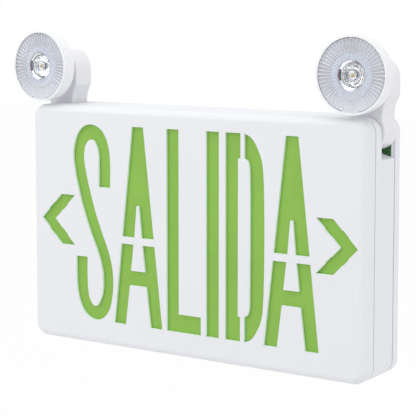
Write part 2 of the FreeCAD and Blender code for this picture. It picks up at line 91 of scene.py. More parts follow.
class EXITLIGHT_PG_housing(bpy.types.PropertyGroup):
    """Sizes of the moulded housing."""
    corner_radius: length("Corner radius", 10.8, "Radius of the housing's four corners")
    face_edge: length("Face edge", 5.7, "Rounding of the front plate's rim")
    wall: length("Face wall", 2.4, "Wall thickness of the front plate")
    seam_edge: length("Seam edge", 0.5, "Softened edge on both sides of each seam")
    cut_edge: length("Cut edge", 0.38, "Softened edge of the legend's cut-outs")
    rear_edge: length("Rear seam edge", 0.25, "Softened edge on both sides of the rear seam")
    rear_gap: length("Rear seam gap", 1.1, "Width of the groove around the back plate")
    seam_gap: length("Seam gap", 0.7, "Gap between the front plate and the housing")
    slot_corner: length("Slot corner", 9.0, "Inner corner radius of the arm slots")
    slot_fall: FloatProperty(name="Slot fall", default=math.radians(16.7), subtype="ANGLE",
                             unit="ROTATION", description="Slope of the slot floor, outwards")


class EXITLIGHT_PG_lamp(bpy.types.PropertyGroup):
    """Sizes of the arms and lamp heads."""
    arm_edge: length("Arm edge", 1.3, "Rounding along the arm's outline")
    disc_radius: length("Disc radius", 13.8, "Round end of the arm, in the slot")
    neck_half: length("Neck half width", 11.7, "Half the width of the arm's neck")
    block_radius: length("Block radius", 15.8, "Radius of the arm's round top")
    block_rise: length("Block rise", 36.3, "Height of the round top's centre above the pivot")
    drum_radius: length("Drum radius", 27.4, "Radius of the lamp head's front rim")
    flutes: IntProperty(name="Flutes", default=54, min=12, description="Radial flutes of a lens")
    flute_depth: length("Flute depth", 0.32, "Height of a flute's rib above its hollow")


class EXITLIGHT_PG_finish(bpy.types.PropertyGroup):
    """Colours of the plastics."""
    housing: colour("Housing", (0.795, 0.806, 0.845), "Moulded plastic of the housing")
    face: colour("Front plate", (0.790, 0.800, 0.830), "Moulded plastic of the front plate")
    arm: colour("Arms", (0.800, 0.804, 0.828), "Smooth plastic of arms and turntables")
    drum: colour("Lamp bodies", (0.860, 0.865, 0.888), "Smooth plastic of the lamp bodies")
    legend: colour("Legend", (0.264, 0.490, 0.086), "Panel that shows through the legend")
    board: colour("Circuit board", (0.030, 0.125, 0.030), "Solder mask of the control board")
    lens: colour("Lens", (0.65, 0.69, 0.84), "Clear plastic of the lenses")
    grain: amount("Grain", 1500.0, "Moulded texture, in grains per metre")


class EXITLIGHT_PG_stage(bpy.types.PropertyGroup):
    """Camera, floor and light."""
    focal: FloatProperty(name="Focal length", default=125.84, min=20.0, unit="CAMERA",
                         description="Focal length in millimetres")
    floor_drop: length("Floor drop", 420.0, "Distance from the housing down to the floor")
    world: amount("Room light", 0.62, "Strength of the even light from the room")
    key: amount("Key light", 8.5, "Power of the soft light above the left shoulder, in watts")
    top: amount("Top light", 8.0, "Power of the soft light overhead, in watts")
    side: amount("Side light", 28.0, "Power of the soft light from the right, in watts")
    low: amount("Low light", 0.9, "Power of the soft light from below in front, in watts")


SETTINGS = {
    "exit_housing": EXITLIGHT_PG_housing,
    "exit_lamp": EXITLIGHT_PG_lamp,
    "exit_finish": EXITLIGHT_PG_finish,
    "exit_stage": EXITLIGHT_PG_stage,
}


# Modelling helpers

def only(piece):
    """Selects one piece alone and makes it active."""
    bpy.ops.object.select_all(action="DESELECT")
    piece.select_set(True)
    bpy.context.view_layer.objects.active = piece


def take(name):
    piece = bpy.context.object
    piece.name = piece.data.name = name
    return piece


def settle(piece, place=None):
    """Moves the piece to its place, and puts place, turn and scale into its mesh."""
    only(piece)
    if place is not None:
        piece.location = place
    bpy.ops.object.transform_apply(location=True, rotation=True, scale=True)
    return piece


def edit(piece):
    only(piece)
    bpy.ops.object.mode_set(mode="EDIT")


def done():
    bpy.ops.object.mode_set(mode="OBJECT")


def pick(kind, wanted):
    """In edit mode, selects the points, edges or faces that wanted() accepts."""
    bpy.ops.mesh.select_mode(type=kind)
    bpy.ops.mesh.select_all(action="DESELECT")
    data = bpy.context.object.data
    mesh = bmesh.from_edit_mesh(data)
    items = {"VERT": mesh.verts, "EDGE": mesh.edges, "FACE": mesh.faces}[kind]
    for item in items:
        if wanted(item):
            item.select_set(True)
    bmesh.update_edit_mesh(data)


def near(first, second):
    return abs(first - second) < 0.02 * MM


def along_y(edge):
    """True for an edge that runs from the wall towards the reader."""
    first, second = (vertex.co for vertex in edge.verts)
    return near(first.x, second.x) and near(first.z, second.z)


def at_y(edge, place):
    """True for an edge that lies in the plane y = place."""
    return all(near(vertex.co.y, place) for vertex in edge.verts)


def bevel(width, segments):
    bpy.ops.mesh.bevel(offset=width, segments=segments, profile=0.5, affect="EDGES")


def block(name, low, high):
    low, high = Vector(low), Vector(high)
    bpy.ops.mesh.primitive_cube_add(size=1.0, location=(low + high) / 2, scale=high - low)
    return settle(take(name))


def rounded_block(name, low, high, corner, *rims):
    """Block with round corners along Y and rounded rims, each (y, width, segments)."""
    piece = block(name, low, high)
    edit(piece)
    pick("EDGE", along_y)
    bevel(corner, CORNER_STEPS)
    for place, width, segments in rims:
        pick("EDGE", lambda edge: at_y(edge, place))
        bevel(width, segments)
    done()
    return piece


def draw_out(piece, way, inset, shift):
    """Insets the flat face that looks along way * Y and moves its middle along Y."""
    edit(piece)
    pick("FACE", lambda face: face.normal.y * way > 0.99)
    bpy.ops.mesh.inset(thickness=inset, depth=0)
    bpy.ops.mesh.extrude_region_move(TRANSFORM_OT_translate={"value": (0, shift, 0)})
    done()


def rod(name, radius, start, end, sides=48):
    start, end = Vector(start), Vector(end)
    line = end - start
    bpy.ops.mesh.primitive_cylinder_add(
        vertices=sides, radius=radius, depth=line.length, location=(start + end) / 2,
        rotation=line.to_track_quat("Z", "Y").to_euler())
    return settle(take(name))


def turned(name, profile, steps=96, upright=False):
    """Profile of (radius, place) in mm, spun about the Y axis, or about Z when upright."""
    points = [Vector((radius * MM, 0, place * MM) if upright else (radius * MM, place * MM, 0))
              for radius, place in profile]
    bpy.ops.mesh.primitive_plane_add(size=MM, location=points[0])
    piece = settle(take(name))
    edit(piece)
    bpy.ops.mesh.select_mode(type="VERT")
    bpy.ops.mesh.select_all(action="SELECT")
    bpy.ops.mesh.merge(type="CENTER")
    for here, following in zip(points, points[1:]):
        bpy.ops.mesh.extrude_vertices_move(TRANSFORM_OT_translate={"value": following - here})
    bpy.ops.mesh.select_all(action="SELECT")
    axis = (0, 0, 1) if upright else (0, 1, 0)
    bpy.ops.mesh.spin(steps=steps, angle=math.tau, center=(0, 0, 0), axis=axis)
    tidy_mesh()
    done()
    return piece


def tidy_mesh():
    """In edit mode, closes seams and poles and turns every face outwards."""
    bpy.ops.mesh.select_all(action="SELECT")
    bpy.ops.mesh.remove_doubles(threshold=0.002 * MM)
    bpy.ops.mesh.normals_make_consistent(inside=False)


def plate(name, outlines, front, back, edge=0.0):
    """Flat shape in the XZ plane.  Each outline lists knots (x, z, smooth)."""
    bpy.ops.object.add(type="CURVE", location=(0, (front + back) / 2, 0), rotation=(QUARTER, 0, 0))
    piece = take(name)
    shape = piece.data
    shape.dimensions = "2D"
    shape.fill_mode = "BOTH"
    shape.extrude = abs(back - front) / 2 - edge
    shape.bevel_depth = edge
    shape.bevel_resolution = 3
    shape.offset = -edge
    for knots in outlines:
        spline = shape.splines.new("BEZIER")
        spline.bezier_points.add(len(knots) - 1)
        spline.use_cyclic_u = True
        for point, (x, z, smooth) in zip(spline.bezier_points, knots):
            point.co = (x, z, 0)
            point.handle_left_type = point.handle_right_type = "AUTO" if smooth else "VECTOR"
        spline.resolution_u = 8 if any(knot[2] for knot in knots) else 1
    only(piece)
    bpy.ops.object.convert(target="MESH")
    piece = take(name)
    settle(piece)
    edit(piece)
    tidy_mesh()
    done()
    return piece


def arc(centre, radius, start, end, steps):
    """Points along an arc in the XZ plane, angles in degrees."""
    points = []
    for step in range(steps + 1):
        angle = math.radians(start + (end - start) * step / steps)
        points.append((centre[0] + radius * math.cos(angle), centre[1] + radius * math.sin(angle)))
    return points


def through(first, second, radius, steps):
    """Points along the arc from first to second whose centre lies to the right."""
    first, second = Vector(first), Vector(second)
    chord = second - first
    rise = math.sqrt(radius ** 2 - (chord.length / 2) ** 2)
    centre = (first + second) / 2 + Vector((chord.y, -chord.x)).normalized() * rise
    start = math.degrees(math.atan2(first.y - centre.y, first.x - centre.x))
    end = math.degrees(math.atan2(second.y - centre.y, second.x - centre.x))
    if end > start:
        end -= 360
    return arc(centre, radius, start, end, steps)


def corners(points):
    """Straight outline through millimetre points."""
    return [(x * MM, z * MM, False) for x, z in points]


def lug(name, root, low, high):
    """Flat tab of the knuckle, in mm, from y = root to a round end about the pin."""
    end = math.copysign(LUG_HALF, -root)
    piece = block(name, Vector((-LUG_HALF, min(root, end), low)) * MM,
                  Vector((LUG_HALF, max(root, end), high)) * MM)
    edit(piece)
    pick("EDGE", lambda edge: at_y(edge, end * MM)
         and near(edge.verts[0].co.x, edge.verts[1].co.x))
    bevel(LUG_HALF * MM * 0.995, LUG_STEPS)  # a hair short, so that the two don't meet
    done()
    return piece


def combine(piece, tool, operation="DIFFERENCE"):
    """Cuts the tool from the piece, or adds it, and removes the tool."""
    only(piece)
    modifier = piece.modifiers.new("Combine", "BOOLEAN")
    modifier.operation = operation
    modifier.solver = "EXACT"
    modifier.object = tool
    bpy.ops.object.modifier_apply(modifier=modifier.name)
    bpy.data.objects.remove(tool)


def soften(piece, width):
    """Rounds the sharp edges of a finished shape."""
    only(piece)
    modifier = piece.modifiers.new("Soften", "BEVEL")
    modifier.width = width
    modifier.segments = 2
    modifier.limit_method = "ANGLE"
    modifier.angle_limit = math.radians(50)
    bpy.ops.object.modifier_apply(modifier=modifier.name)


def copy_of(piece, name):
    twin = piece.copy()
    twin.data = piece.data.copy()
    twin.name = twin.data.name = name
    bpy.context.scene.collection.objects.link(twin)
    return twin


def finish(piece, look, body, slot, *nodes, angle=35):
    """Smooths a piece, gives it its look, ties it to its body and hides the nodes it stands for;
    the slot is not used.
    """
    only(piece)
    bpy.ops.object.shade_smooth_by_angle(angle=math.radians(angle))
    modifier = piece.modifiers.new("Even", "WEIGHTED_NORMAL")
    modifier.keep_sharp = True
    bpy.ops.object.modifier_apply(modifier=modifier.name)
    piece.data.materials.clear()
    piece.data.materials.append(LOOKS[look])
    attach(piece, body)
    if nodes:
        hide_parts(*nodes)


def joint_of(name):
    return next(joint for joint in frame["joints"] if joint["name"] == name)


def joint_place(name):
    """Where a joint of the frame lies."""
    return Vector(joint_of(name)["pos_m"])


def finish_on_head(piece, side, look, slot, *nodes, angle=35):
    """Finishes a piece made about the knuckle on its lamp, panned as that lamp is."""
    joint = joint_of(side + "_head_tilt")
    piece.rotation_euler = (0, 0, -math.radians(sum(joint["range_deg"])) / 2)
    settle(piece, joint["pos_m"])
    finish(piece, look, side + "_head", slot, *(side + node for node in nodes), angle=angle)


# Looks

def feed(socket, value):
    """Links another node's output to the socket, or sets the socket's own value."""
    if isinstance(value, bpy.types.NodeSocket):
        socket.id_data.links.new(value, socket)
    else:
        socket.default_value = value


class Look:
    """A node material around one Principled shader."""

    def __init__(self, name, **inputs):
        self.material = bpy.data.materials.new(name)
        self.material.use_nodes = True
        self.nodes = self.material.node_tree.nodes
        self.shader = self.nodes["Principled BSDF"]
        for label, value in inputs.items():
            feed(self.shader.inputs[label.replace("_", " ")], value)
        self.place = self.out("Object", "ShaderNodeTexCoord")

    def add(self, kind, settings=None, **inputs):
        node = self.nodes.new(kind)
        for label, value in (settings or {}).items():
            setattr(node, label, value)
        for label, value in inputs.items():
            feed(node.inputs[label.replace("_", " ")], value)
        return node

    def out(self, output, *kind, **inputs):
        """An output of a new node."""
        return self.add(*kind, **inputs).outputs[output]

    def noise(self, scale, detail=2.0, roughness=0.5):
        return self.out("Fac", "ShaderNodeTexNoise", Vector=self.place, Scale=scale,
                        Detail=detail, Roughness=roughness)

    def ramp(self, source, stops, interpolation="LINEAR"):
        node = self.add("ShaderNodeValToRGB", Fac=source)
        node.color_ramp.interpolation = interpolation
        marks = node.color_ramp.elements
        while len(marks) < len(stops):
            marks.new(0.5)
        for mark, (place, value) in zip(marks, stops):
            mark.position = place
            mark.color = (*value, 1.0)
        return node.outputs["Color"]

    def span(self, source, low, high):
        return self.out("Result", "ShaderNodeMapRange", Value=source, To_Min=low, To_Max=high)

    def math(self, operation, *values):
        kind = "ShaderNodeVectorMath" if operation == "LENGTH" else "ShaderNodeMath"
        node = self.add(kind, {"operation": operation})
        for socket, value in zip(node.inputs, values):
            feed(socket, value)
        return node.outputs["Value"]

    def step(self, source, low, high):
        """0 up to low, 1 from high; the other way round when high is below low."""
        return self.out("Result", "ShaderNodeMapRange", {"interpolation_type": "SMOOTHSTEP"},
                        Value=source, From_Min=low, From_Max=high)

    def blend(self, share, first, second):
        node = self.add("ShaderNodeMix", {"data_type": "RGBA"})
        for place, value in ((0, share), (6, first), (7, second)):
            feed(node.inputs[place], (*value, 1.0) if isinstance(value, tuple) else value)
        return node.outputs[2]

    def paint(self, output):
        feed(self.shader.inputs["Base Color"], output)

    def mottle(self, source, low, high, start=0.3):
        """Colour that goes from low to high with the source."""
        self.paint(self.ramp(source, [(start, low), (0.7, high)]))

    def roughen(self, output):
        feed(self.shader.inputs["Roughness"], output)

    def relief(self, output, depth, strength=1.0):
        feed(self.shader.inputs["Normal"], self.out(
            "Normal", "ShaderNodeBump", Height=output, Distance=depth, Strength=strength))


def shade(tone, *shares):
    """Tone with its three parts scaled, by one share or by one each."""
    return tuple(part * share for part, share in zip(tone, shares * (3 // len(shares))))


def moulded_look(name, tone, grain, relief, roughness):
    """Moulded plastic: a fine eroded grain over a faint flow of the melt."""
    look = Look(name)
    flow = look.noise(14.0, 3.0)
    look.mottle(flow, shade(tone, 0.985), tone, 0.35)
    fine = look.noise(grain, 3.0, 0.65)
    look.roughen(look.span(fine, roughness - 0.06, roughness + 0.06))
    look.relief(fine, relief)
    return look.material


def legend_look(tone):
    """Translucent panel: faint clouding in the colour, satin surface."""
    look = Look("legend_green", Specular_IOR_Level=0.2)
    look.mottle(look.noise(22.0, 4.0), shade(tone, 0.94), shade(tone, 1.03))
    fine = look.noise(2600.0, 2.0)
    look.roughen(look.span(fine, 0.38, 0.5))
    look.relief(fine, 0.00002)
    return look.material


def cut_wall_bounce_look(front, depth):
    """Walls of the cut-outs: the plate's white with painted green light, bounced from the panel
    behind them.
    """
    look = Look("cut_edge", Roughness=0.4)
    inward = look.out("Result", "ShaderNodeMapRange", From_Min=front, From_Max=front + depth,
                      Value=look.out("Y", "ShaderNodeSeparateXYZ", Vector=look.place))
    # painted light: pale mint at the front to deep green at the back, the panel's green bounce
    look.paint(look.ramp(inward, [
        (0.2, (0.92, 0.97, 0.94)), (0.70, (0.84, 0.96, 0.88)), (0.84, (0.26, 0.71, 0.30)),
        (1.0, (0.18, 0.62, 0.16))]))
    look.relief(look.noise(1500.0, 3.0), 0.00002)
    return look.material


def board_look(tone):
    """Circuit board: solder mask with tracks that show as paler lines."""
    look = Look("circuit_green", Specular_IOR_Level=0.5)
    flat = look.out("Vector", "ShaderNodeMapping", Vector=look.place, Rotation=(QUARTER, 0, 0))
    tracks = look.add("ShaderNodeTexBrick", {"offset": 0.37, "squash": 0.7}, Vector=flat,
                      Scale=90.0, Mortar_Size=0.06, Mortar_Smooth=0.2, Brick_Width=0.9,
                      Row_Height=0.22)
    for socket, share in (("Color1", 1.0), ("Color2", 0.82), ("Mortar", 1.5)):
        feed(tracks.inputs[socket], (*shade(tone, share), 1.0))
    look.paint(tracks.outputs["Color"])
    look.roughen(look.span(look.noise(400.0), 0.25, 0.4))
    look.relief(tracks.outputs["Fac"], 0.00004, 0.6)
    return look.material


def lens_look(name, tone, centre, flutes):
    """Clear plastic: pale ribs round the lamp's axis over a base with a fine diamond grid, with
    painted light that makes its lower part paler.
    """
    look = Look(name, Roughness=0.2, IOR=1.49, Transmission_Weight=0.25, Coat_Weight=0.3,
                Coat_Roughness=0.08)
    local = look.out("Vector", "ShaderNodeVectorMath", {"operation": "SUBTRACT"},
                     Vector=look.place)
    feed(local.node.inputs[1], centre)
    flat = look.out("Vector", "ShaderNodeMapping", Vector=local, Rotation=(QUARTER, 0, 0),
                    Scale=(1, 0, 1))
    turn = look.out("Fac", "ShaderNodeTexGradient", {"gradient_type": "RADIAL"}, Vector=flat)
    wave = look.math("PINGPONG", look.math("MULTIPLY", turn, flutes), 0.5)
    reach = look.math("LENGTH", flat)
    outer = look.step(reach, 14.2 * MM, 17.4 * MM)
    ribs = look.math("MULTIPLY", look.step(wave, 0.2, 0.1), look.step(reach, 11.2 * MM, 12 * MM))
    grid = look.out("Fac", "ShaderNodeTexChecker", Vector=local, Scale=1900.0)
    sectors = look.math("PINGPONG", look.math("MULTIPLY", turn, 4.0), 0.5)
    hatch = look.math("MULTIPLY", look.math("MULTIPLY", grid, outer), look.step(sectors, 0.1, 0.3))
    base = look.blend(outer, shade(tone, 1.14, 1.14, 1.08), shade(tone, 0.93, 0.88, 0.79))
    base = look.blend(look.math("MULTIPLY", hatch, 0.5), base, shade(tone, 1.27, 1.24, 1.15))
    # painted light: the lower part of the lens is made paler
    low = look.out("Z", "ShaderNodeSeparateXYZ", Vector=local)
    base = look.blend(look.step(low, -8 * MM, -26 * MM), base, shade(tone, 1.38, 1.34, 1.17))
    share = look.math("MULTIPLY", ribs, look.span(outer, 0.6, 0.85))
    look.paint(look.blend(share, base, shade(tone, 1.34, 1.32, 1.17)))
    look.relief(look.math("ADD", look.math("MULTIPLY", hatch, 0.3), ribs), 0.00005, 0.5)
    return look.material


def dome_look():
    """Clear moulded optic."""
    look = Look("clear_optic", Roughness=0.02, IOR=1.49, Transmission_Weight=1.0)
    look.paint(look.ramp(look.noise(60.0), [(0.0, (0.95, 0.96, 0.98)), (1.0, (1, 1, 1))]))
    look.relief(look.noise(120.0), 0.0002, 0.25)
    return look.material


def cup_painted_reflection_look():
    """Metallised plastic in small bumped facets, painted light and dark as painted reflections."""
    look = Look("bright_cup", Metallic=1.0)
    cells = look.add("ShaderNodeTexVoronoi", Vector=look.place, Scale=420.0)
    facet = look.out("Red", "ShaderNodeSeparateColor", Color=cells.outputs["Color"])
    # painted reflections: each facet gets a lighter or darker tone of the metal
    look.paint(look.ramp(facet, [(0.0, (0.93, 0.94, 0.96)), (0.6, (0.78, 0.80, 0.85)),
                                 (0.8, (0.50, 0.52, 0.57)), (0.88, (0.90, 0.92, 0.96))],
                         "CONSTANT"))
    look.roughen(look.span(look.noise(300.0), 0.12, 0.26))
    look.relief(cells.outputs["Distance"], 0.0004, 0.35)
    return look.material


def metal_look(name, tone, roughness, stretch):
    """Metal with fine marks drawn out along one axis."""
    look = Look(name, Metallic=1.0)
    drawn = look.out("Vector", "ShaderNodeMapping", Vector=look.place, Scale=stretch)
    marks = look.out("Fac", "ShaderNodeTexNoise", Vector=drawn, Scale=300.0, Detail=4.0)
    look.mottle(marks, shade(tone, 0.86), tone)
    look.roughen(look.span(marks, roughness - 0.07, roughness + 0.09))
    look.relief(marks, 0.00002)
    return look.material


def chip_look():
    """Phosphor of the emitter, yellow with a fine powder grain."""
    look = Look("emitter_yellow", Roughness=0.35)
    powder = look.noise(5200.0, 3.0)
    look.mottle(powder, (0.66, 0.46, 0.05), (0.86, 0.66, 0.12))
    look.relief(powder, 0.00002)
    return look.material


def tinted_look(name, tone, transmission):
    """Small clear or satin moulding with a faint cloud in its colour."""
    look = Look(name, Roughness=0.22, IOR=1.49, Transmission_Weight=transmission)
    look.mottle(look.noise(180.0, 3.0), shade(tone, 0.85), tone)
    look.relief(look.noise(1400.0), 0.00002, 0.6)
    return look.material


LOOKS = {}


def make_looks(tones, flutes):
    """All materials of the part, kept by name."""
    for name, fineness, relief, roughness in (
            ("housing", 1.0, 0.00004, 0.48), ("face", 1.0, 0.00004, 0.46),
            ("arm", 1.6, 0.00002, 0.36), ("drum", 1.6, 0.00002, 0.34)):
        LOOKS[name] = moulded_look(name + "_white", tuple(getattr(tones, name)),
                                   tones.grain * fineness, relief, roughness)
    for side in SIDES:
        LOOKS[side + "_lens"] = lens_look(side + "_fluted_lens", tuple(tones.lens),
                                          joint_place(side + "_head_tilt"), flutes)
    LOOKS.update(
        legend=legend_look(tuple(tones.legend)),
        board=board_look(tuple(tones.board)),
        optic=dome_look(),
        cup=cup_painted_reflection_look(),
        steel=metal_look("pin_steel", (0.62, 0.62, 0.64), 0.26, (1, 0.04, 1)),
        aluminium=metal_look("board_aluminium", (0.78, 0.79, 0.81), 0.4, (1, 1, 0.1)),
        chip=chip_look(),
        guide=tinted_look("clear_guide", (0.90, 0.95, 0.92), 0.8),
        strip=moulded_look("strip_board", (0.80, 0.80, 0.76), 900.0, 0.00002, 0.55),
        button=moulded_look("button_grey", (0.50, 0.51, 0.54), 2000.0, 0.00001, 0.3),
        pilot=tinted_look("pilot_red", (0.62, 0.03, 0.02), 0.5),
        amber=tinted_look("lead_amber", (0.80, 0.20, 0.02), 0.0),
        blue=tinted_look("lead_blue", (0.03, 0.12, 0.55), 0.0),
        black=tinted_look("lead_black", (0.006, 0.006, 0.008), 0.0))


CAD_LOOKS = {
    "legend_panel": "legend", "light_guide": "guide", "upper_light_strip": "strip",
    "lower_light_strip": "strip", "control_board": "board"}
CAD_LOOKS.update({side + node: look for side in SIDES for node, look in (
    ("_arm_pin", "steel"), ("_knuckle_pin", "steel"), ("_emitter_board", "aluminium"))})


# The legend, in millimetres from the middle of the housing

LEGEND_FIELD_X, LEGEND_FIELD_Z = 144.0, 86.0
LETTER_LOW, LETTER_HIGH = -73.4, 78.6
BRIDGE_LOW, BRIDGE_HIGH = -11.0, -5.5

S_INNER = [
    (-82.7, 30.7), (-82.7, 47.5), (-82.75, 55.0), (-84.8, 62.6), (-89.4, 67.0), (-94.4, 63.5),
    (-96.3, 57.5), (-96.5, 51.5), (-95.1, 43.5), (-91.0, 27.5), (-85.9, 11.5), (-79.5, -4.5),
    (-72.7, -20.5), (-69.4, -34.5), (-69.0, -44.5), (-69.8, -52.5), (-73.2, -64.5),
    (-79.5, -71.2), (-87.2, -73.1), (-95.2, -70.0), (-100.5, -63.5), (-104.2, -52.5),
    (-105.1, -40.5), (-105.1, -24.5)]
S_OUTER = [
    (-94.0, -24.5), (-94.0, -42.5), (-93.3, -51.5), (-91.2, -58.5), (-86.2, -62.3),
    (-81.6, -56.5), (-79.3, -48.5), (-79.1, -40.5), (-80.0, -32.5), (-83.8, -20.5), (-91.1, -4.5),
    (-97.4, 11.5), (-102.4, 27.5), (-106.2, 43.5), (-107.5, 55.5), (-106.1, 63.5), (-102.8, 71.5),
    (-96.8, 77.1), (-89.4, 78.6), (-81.0, 75.8), (-76.0, 70.0), (-72.7, 61.5), (-71.4, 51.5),
    (-71.4, 30.7)]
D_OUTER = [
    (49.8, 78.6), (56.0, 75.5), (61.4, 67.5), (64.6, 59.5), (66.0, 50.5), (66.0, -46.5),
    (64.4, -56.0), (60.6, -64.5), (55.6, -71.0), (49.8, -73.4)]
D_INNER = [
    (49.8, -55.0), (52.6, -53.3), (54.2, -47.5), (54.4, -40.5), (54.4, 47.5), (53.9, 55.0),
    (52.4, 59.1), (49.8, 60.3)]
A_CENTRES = (-45.45, 89.3)
ARROW_TIP, ARROW_MIDDLE, ARROW_OFFSET = 140.8, 3.15, 1.5
ARROW_REACH, ARROW_STROKE, ARROW_HALF = 19.5, 13.7, 19.7
NIB_START, NIB_END, NIB_DEPTH = 0.37, 0.61, 0.45


def letter_a(centre):
    """Stencil A: the head above the bridge and the legs with their crossbar below it."""
    head = [(1.0, 18.85), (3.2, BRIDGE_HIGH), (14.95, BRIDGE_HIGH), (5.3, LETTER_HIGH)]
    legs = [(7.6, -42.5), (11.55, LETTER_LOW), (22.75, LETTER_LOW), (15.6, BRIDGE_LOW),
            (4.0, BRIDGE_LOW), (6.4, -31.2)]
    return [corners([(centre - x, z) for x, z in half]
                    + [(centre + x, z) for x, z in reversed(half)]) for half in (head, legs)]


def nibbed(start, end):
    """Edge of an arrow with the wider stretch that a broken-out web leaves."""
    start, end = Vector(start), Vector(end)
    out = (end - start).normalized()
    out = Vector((out.y, -out.x)) * NIB_DEPTH
    first, second = start.lerp(end, NIB_START), start.lerp(end, NIB_END)
    return [start, first, first + out, second + out, second]


def arrow(way):
    """Chevron that points away from the middle, each of its four long edges nibbed."""
    tip, tail, inner = ARROW_TIP, ARROW_TIP - ARROW_REACH, ARROW_STROKE
    middle, top, foot = ARROW_MIDDLE, ARROW_MIDDLE + ARROW_HALF, ARROW_MIDDLE - ARROW_HALF
    route = nibbed((tail, foot), (tip, middle)) + nibbed((tip, middle), (tail, top))
    route += [(tail, top)] + nibbed((tail - inner, top), (tip - inner, middle))
    route += nibbed((tip - inner, middle), (tail - inner, foot)) + [(tail - inner, foot)]
    return corners([(x * way + ARROW_OFFSET, z) for x, z in route])


def curved(*runs):
    """Outline of runs of points, smooth but for the ends of each run."""
    return [(x * MM, z * MM, 0 < place < len(run) - 1)
            for run in runs for place, (x, z) in enumerate(run)]


def legend_outlines():
    """Letters and arrows as knots for plate()."""
    rows = [curved(S_INNER, S_OUTER), curved(D_OUTER, D_INNER)]
    for left, right in (  # straight strokes: the left side and the points of the right side
            (-18.8, [(-7.6, LETTER_HIGH), (-7.6, -59.7), (12.2, -59.7), (12.2, LETTER_LOW)]),
            (16.7, [(28.1, LETTER_HIGH), (28.1, LETTER_LOW)]),
            (33.5, [(46.6, LETTER_HIGH), (46.6, 60.3), (44.6, 60.3), (44.6, -55.0),
                    (46.6, -55.0), (46.6, LETTER_LOW)])):
        rows.append(corners([(left, LETTER_HIGH)] + right + [(left, LETTER_LOW)]))
    for centre in A_CENTRES:
        rows += letter_a(centre)
    return rows + [arrow(1), arrow(-1)]


class PieceOperator(bpy.types.Operator):
    """Base of the operators that add pieces."""
    bl_options = {"REGISTER", "UNDO"}


class EXITLIGHT_OT_stage(PieceOperator):
    """Add the camera, the floor and the studio light"""
    bl_idname = "exitlight.stage"
    bl_label = "Stage"

    def execute(self, context):
        scene, settings = context.scene, context.scene.exit_stage
        scene.view_settings.view_transform = "Standard"
        bpy.ops.object.camera_add(location=CAMERA_PLACE,
                                  rotation=(QUARTER - CAMERA_DOWN, 0, CAMERA_LEFT))
        scene.camera = bpy.context.object
        camera = scene.camera.data
        camera.lens = settings.focal
        camera.sensor_width = 36.0
        camera.shift_y = CAMERA_SHIFT
        camera.clip_start = 0.01
        self.add_room(scene, settings)
        self.add_floor(settings)
        for name, width, place in (
                ("key", 1.3, (-0.75, -1.25, 0.85)), ("top", 1.6, (0.1, -0.25, 1.35)),
                ("side", 3.0, (3.3, 0.15, 0.9)), ("low", 1.0, (0.2, -1.1, -0.38))):
            bpy.ops.object.light_add(type="AREA", location=place)
            lamp = bpy.context.object
            lamp.name = name + "_light"
            lamp.data.energy = getattr(settings, name)
            lamp.data.size = width
            lamp.rotation_euler = Vector(place).to_track_quat("Z", "Y").to_euler()
        return {"FINISHED"}

    @staticmethod
    def show_white(tree, plain, white, share):
        """The plain shader, but white to the camera and in gloss and glass."""
        path = tree.nodes.new("ShaderNodeLightPath").outputs
        seen = path["Is Camera Ray"]
        for operation, second in (("MAXIMUM", path["Is Glossy Ray"]),
                                  ("MAXIMUM", path["Is Transmission Ray"]), ("MULTIPLY", share)):
            join = tree.nodes.new("ShaderNodeMath")
            join.operation = operation
            feed(join.inputs[0], seen)
            feed(join.inputs[1], second)
            seen = join.outputs["Value"]
        mix = tree.nodes.new("ShaderNodeMixShader")
        for socket, source in zip(mix.inputs, (seen, plain, white)):
            feed(socket, source)
        return mix.outputs["Shader"]

    def add_room(self, scene, settings):
        """World of even light that shows as plain white."""
        scene.world = bpy.data.worlds.new("room")
        scene.world.use_nodes = True
        tree = scene.world.node_tree
        even, white = tree.nodes["Background"], tree.nodes.new("ShaderNodeBackground")
        for background, strength in ((even, settings.world), (white, 1.0)):
            feed(background.inputs["Color"], (1.0, 1.0, 1.0, 1.0))
            feed(background.inputs["Strength"], strength)
        shown = self.show_white(tree, even.outputs[0], white.outputs[0], 1.0)
        feed(tree.nodes["World Output"].inputs["Surface"], shown)

    def add_floor(self, settings):
        """Floor that melts into the room and keeps the object's shadow."""
        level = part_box("main_housing")[0].z - settings.floor_drop
        bpy.ops.mesh.primitive_plane_add(size=14.0, location=(0, 0, level))
        floor = take("studio_floor")
        look = Look("pale_floor", Base_Color=(0.9, 0.9, 0.9, 1.0), Roughness=0.9)
        tree = look.material.node_tree
        glow = look.out("Emission", "ShaderNodeEmission")
        shown = self.show_white(tree, look.shader.outputs["BSDF"], glow, FLOOR_WHITE)
        feed(tree.nodes["Material Output"].inputs["Surface"], shown)
        floor.data.materials.append(look.material)


class EXITLIGHT_OT_finishes(PieceOperator):
    """Make the materials and give the frame's own parts theirs"""
    bl_idname = "exitlight.finishes"
    bl_label = "Finishes"

    def execute(self, context):
        make_looks(context.scene.exit_finish, context.scene.exit_lamp.flutes)
        for name, look in CAD_LOOKS.items():
            mesh = frame["nodes"][name].data
            mesh.materials.clear()
            mesh.materials.append(LOOKS[look])
        return {"FINISHED"}


